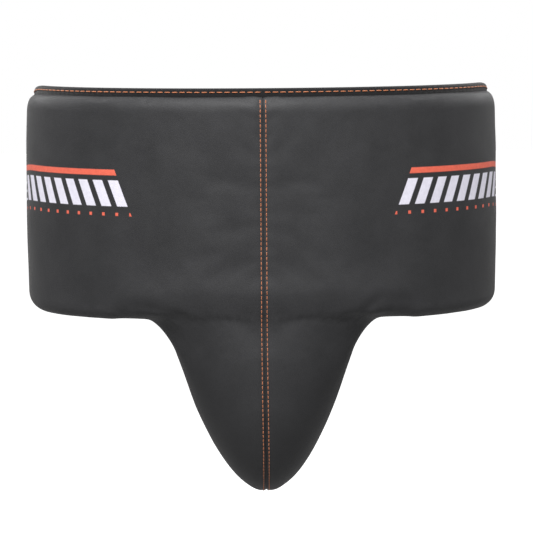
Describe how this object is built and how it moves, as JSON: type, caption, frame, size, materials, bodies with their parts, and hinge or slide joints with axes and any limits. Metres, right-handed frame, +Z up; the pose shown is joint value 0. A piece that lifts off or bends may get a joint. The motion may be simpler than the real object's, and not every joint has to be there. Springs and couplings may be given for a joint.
{
  "type": "boxing groin protector",
  "caption": "Padded hip belt with a padded crotch piece over a hard cup, leg straps, and a back closure that peels open.",
  "frame": {"origin": "centre of the waist opening, halfway up the belt", "axes": "+Z up along the wearer's body, -Y to the wearer's front, +X to the right as seen from the front"},
  "size_m": [0.34, 0.2523, 0.2874],
  "materials": {
    "cover_leather": "matte dark grey microfibre leather",
    "firm_foam": "firm closed-cell foam",
    "soft_foam": "soft comfort foam",
    "lining_fabric": "woven lining",
    "binding_tape": "folded tape with copper stitches",
    "elastic_webbing": "ribbed elastic",
    "cup_plastic": "moulded",
    "hook_tape": "hook side of touch tape",
    "loop_tape": "brushed loop side of touch tape"
  },
  "bodies": {
    "front_pad": {"front_cover_left": "cover_leather", "front_cover_right": "cover_leather", "front_firm_foam": "firm_foam", "front_soft_foam": "soft_foam", "front_lining": "lining_fabric", "front_top_binding": "binding_tape", "crotch_foam": "firm_foam", "cup_shell": "cup_plastic", "cup_liner": "lining_fabric", "crotch_rim_binding": "binding_tape", "crotch_tip_patch": "cover_leather"},
    "left_wing": {"left_wing_cover": "cover_leather", "left_wing_firm_foam": "firm_foam", "left_wing_soft_foam": "soft_foam", "left_wing_lining": "lining_fabric", "left_wing_top_binding": "binding_tape", "left_strap_tab": "cover_leather", "left_leg_strap": "elastic_webbing", "strap_base_pad": "cover_leather", "strap_cover_patch": "cover_leather", "upper_strap_base": "elastic_webbing", "lower_strap_base": "elastic_webbing"},
    "right_wing": {"right_wing_cover": "cover_leather", "right_wing_firm_foam": "firm_foam", "right_wing_soft_foam": "soft_foam", "right_wing_lining": "lining_fabric", "right_wing_top_binding": "binding_tape", "right_strap_tab": "cover_leather", "right_leg_strap": "elastic_webbing", "loop_panel": "loop_tape"},
    "upper_closure": {"upper_strap_elastic": "elastic_webbing", "upper_hook_patch": "hook_tape", "upper_pull_tab": "cover_leather"},
    "lower_closure": {"lower_strap_elastic": "elastic_webbing", "lower_hook_patch": "hook_tape", "lower_pull_tab": "cover_leather"}
  },
  "joints": [
    {"name": "left_wing_flex", "type": "hinge", "parent": "front_pad", "child": "left_wing", "pos_m": [-0.1692, 0.012, 0], "axis": [0, 0, 1], "range_deg": [0, 45], "deforming": ["left_leg_strap"]},
    {"name": "right_wing_flex", "type": "hinge", "parent": "front_pad", "child": "right_wing", "pos_m": [0.1692, 0.012, 0], "axis": [0, 0, 1], "range_deg": [-45, 0], "deforming": ["right_leg_strap"]},
    {"name": "upper_strap_peel", "type": "hinge", "parent": "left_wing", "child": "upper_closure", "pos_m": [-0.036, 0.12553, 0.002], "axis": [0, 0, 1], "range_deg": [0, 120]},
    {"name": "lower_strap_peel", "type": "hinge", "parent": "left_wing", "child": "lower_closure", "pos_m": [-0.036, 0.12553, 0.002], "axis": [0, 0, 1], "range_deg": [0, 120]}
  ],
  "couplings": [
    {"joint": "right_wing_flex", "follows": "left_wing_flex", "ratio": -1}
  ]
}
